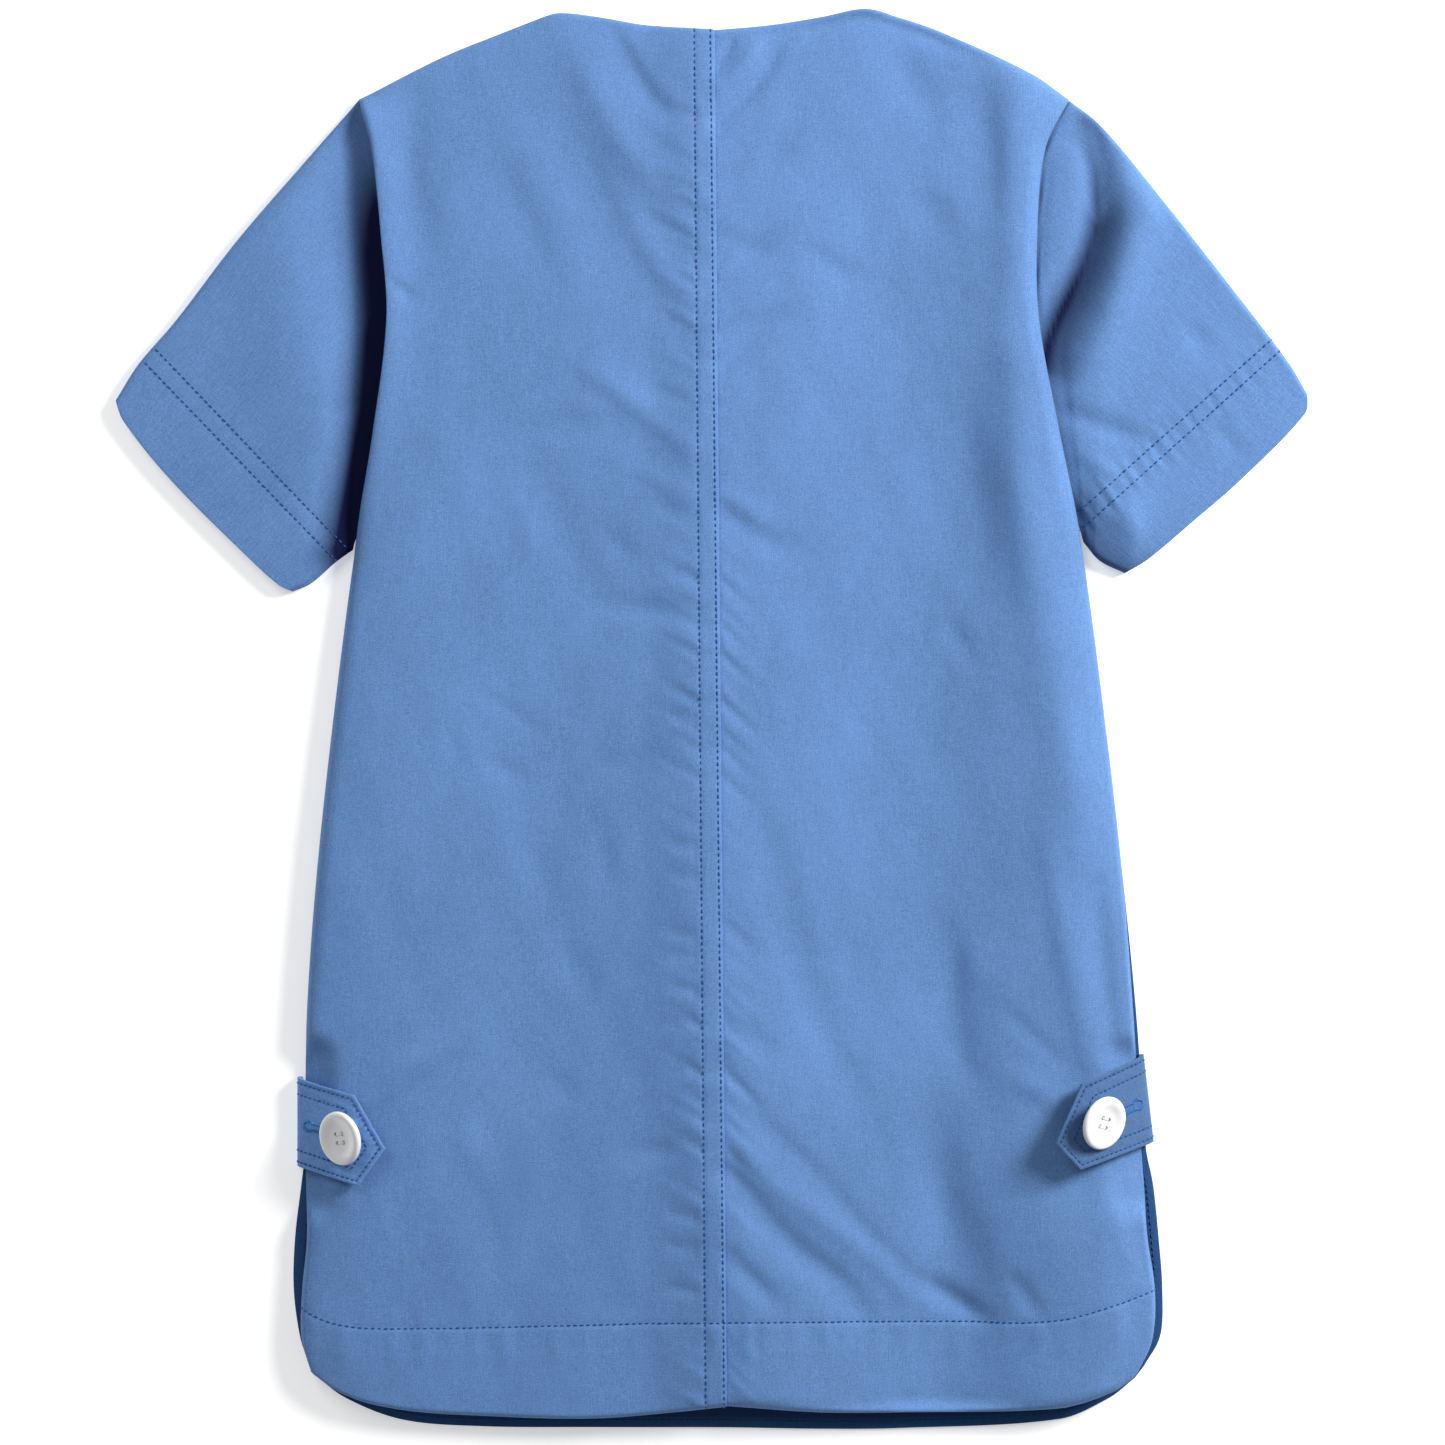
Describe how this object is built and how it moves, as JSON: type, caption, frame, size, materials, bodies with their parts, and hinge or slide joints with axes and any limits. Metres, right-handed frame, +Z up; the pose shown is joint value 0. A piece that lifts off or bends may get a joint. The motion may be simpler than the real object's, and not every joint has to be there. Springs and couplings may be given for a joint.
{
  "type": "child's nurse uniform dress laid flat",
  "caption": "Short-sleeved child's nurse dress laid flat, back up: lapped centre back seam, V-neck front, side vents and pointed side tabs buttoned onto the back.",
  "frame": {"origin": "middle of the garment's outline, on the surface that it lies on", "axes": "+Z up out of the back, +Y towards the neck, +X towards the sleeve on the right when looking down on the back"},
  "size_m": [0.5018, 0.5981, 0.0302],
  "materials": {
    "cloth": "mid-blue cotton twill, matt with a faint sheen",
    "button": "white polyester, semi-gloss"
  },
  "bodies": {
    "root": {"front": "cloth", "back_left": "cloth", "back_right": "cloth", "sleeve_left": "cloth", "sleeve_right": "cloth", "tab_left": "cloth", "tab_right": "cloth", "button_left": "button", "button_right": "button"}
  },
  "joints": []
}
